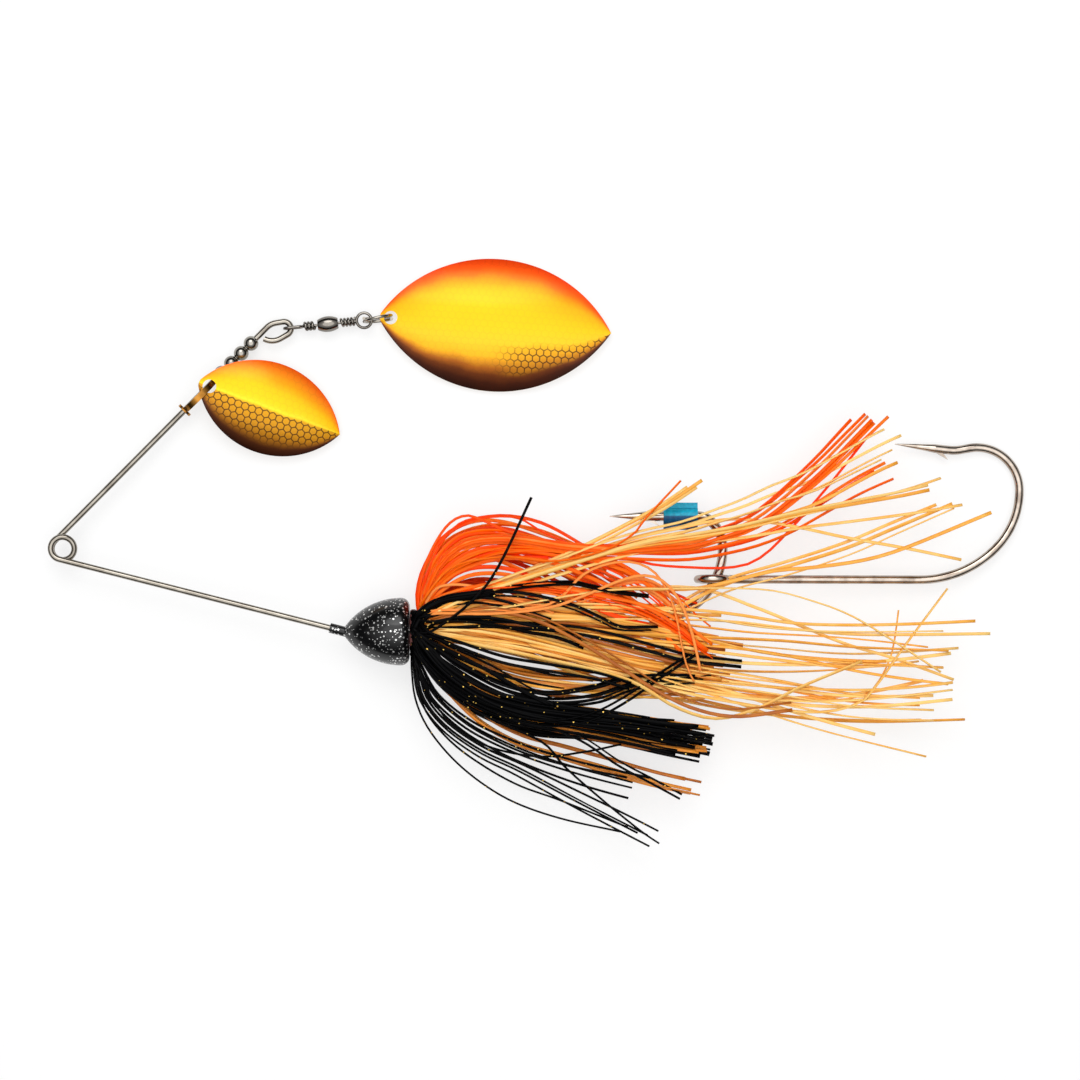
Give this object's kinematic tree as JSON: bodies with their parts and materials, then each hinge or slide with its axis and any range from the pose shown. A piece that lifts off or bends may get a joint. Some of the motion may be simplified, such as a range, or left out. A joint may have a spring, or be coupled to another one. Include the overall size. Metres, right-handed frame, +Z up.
{
  "type": "spinnerbait fishing lure",
  "caption": "Wire spinnerbait with a bullet head, silicone strand skirt, main and trailer hooks, and two cupped blades that turn on a clevis and on a swivel.",
  "frame": {"origin": "centre of the line-tie coil, midway between its two turns", "axes": "+X from the line tie to the tail, +Y towards the blades, +Z up from the table the lure lies on"},
  "size_m": [0.1958, 0.1165, 0.0138],
  "materials": {
    "wire": "bright drawn spring wire",
    "head_paint": "gloss black paint with silver glitter on lead",
    "hook_steel": "bright nickel plating",
    "collar_rubber": "pale rubber",
    "strand_orange": "silicone",
    "strand_tan": "pearly silicone",
    "strand_black": "silicone with fine glitter",
    "stop_rubber": "blue rubber",
    "clevis_brass": "satin brass",
    "blade_paint": "gloss sunset paint with a scale pattern on brass",
    "bead_metal": "bright nickel",
    "swivel_nickel": "dark nickel",
    "ring_steel": "bright steel"
  },
  "bodies": {
    "lure": {"wire_frame": "wire", "head": "head_paint", "main_hook": "hook_steel", "skirt_collar": "collar_rubber", "skirt_orange_near": "strand_orange", "skirt_orange_far": "strand_orange", "skirt_tan_near": "strand_tan", "skirt_tan_far": "strand_tan", "skirt_black_near": "strand_black", "skirt_black_far": "strand_black"},
    "hook_stop": {"hook_stop": "stop_rubber"},
    "trailer_hook": {"trailer_hook": "hook_steel"},
    "clevis": {"clevis": "clevis_brass"},
    "small_blade": {"small_blade": "blade_paint"},
    "bead_1": {"bead_1": "bead_metal"},
    "bead_2": {"bead_2": "bead_metal"},
    "bead_3": {"bead_3": "bead_metal"},
    "bead_4": {"bead_4": "bead_metal"},
    "swivel_front_eye": {"swivel_front_eye": "swivel_nickel"},
    "swivel_barrel": {"swivel_barrel": "swivel_nickel"},
    "swivel_rear_eye": {"swivel_rear_eye": "swivel_nickel"},
    "split_ring": {"split_ring": "ring_steel"},
    "large_blade": {"large_blade": "blade_paint"}
  },
  "joints": [
    {"name": "bead_1_spin", "type": "hinge", "parent": "lure", "child": "bead_1", "pos_m": [0.03743, 0.04121, -0.00296], "axis": [0.7009, 0.7121, -0.0398], "continuous": true},
    {"name": "bead_2_spin", "type": "hinge", "parent": "lure", "child": "bead_2", "pos_m": [0.03547, 0.03922, -0.00284], "axis": [0.7009, 0.7121, -0.0398], "continuous": true},
    {"name": "bead_3_spin", "type": "hinge", "parent": "lure", "child": "bead_3", "pos_m": [0.0335, 0.03722, -0.00273], "axis": [0.7009, 0.7121, -0.0398], "continuous": true},
    {"name": "bead_4_spin", "type": "hinge", "parent": "lure", "child": "bead_4", "pos_m": [0.03154, 0.03523, -0.00262], "axis": [0.7009, 0.7121, -0.0398], "continuous": true},
    {"name": "clevis_spin", "type": "hinge", "parent": "lure", "child": "clevis", "pos_m": [0.02713, 0.03074, -0.00237], "axis": [0.7009, 0.7121, -0.0398], "continuous": true},
    {"name": "small_blade_swing", "type": "hinge", "parent": "clevis", "child": "small_blade", "pos_m": [0.02946, 0.03241, 0.0007], "axis": [0.1361, -0.0787, 0.9876], "range_deg": [-30, 15]},
    {"name": "swivel_swing", "type": "hinge", "parent": "lure", "child": "swivel_front_eye", "pos_m": [0.04405, 0.0442, -0.00312], "axis": [0, 0, 1], "range_deg": [-15, 60]},
    {"name": "barrel_spin", "type": "hinge", "parent": "swivel_front_eye", "child": "swivel_barrel", "pos_m": [0.05287, 0.04511, -0.00312], "axis": [0.9947, 0.1028, 0], "continuous": true},
    {"name": "rear_eye_spin", "type": "hinge", "parent": "swivel_barrel", "child": "swivel_rear_eye", "pos_m": [0.06013, 0.04586, -0.00312], "axis": [0.9947, 0.1028, 0], "continuous": true},
    {"name": "split_ring_swing", "type": "hinge", "parent": "swivel_rear_eye", "child": "split_ring", "pos_m": [0.06294, 0.04615, -0.00192], "axis": [-0.1028, 0.9947, 0], "range_deg": [-40, 40]},
    {"name": "large_blade_swing", "type": "hinge", "parent": "split_ring", "child": "large_blade", "pos_m": [0.06549, 0.04641, -0.00322], "axis": [0, 0, 1], "range_deg": [-20, 40]},
    {"name": "trailer_swing", "type": "hinge", "parent": "lure", "child": "trailer_hook", "pos_m": [0.13002, -0.00613, 0.00099], "axis": [0, 0.9984, -0.0558], "range_deg": [-60, 60]},
    {"name": "stop_twist", "type": "hinge", "parent": "lure", "child": "hook_stop", "pos_m": [0.1236, 0.00645, 0.00029], "axis": [1, 0, 0], "continuous": true}
  ]
}
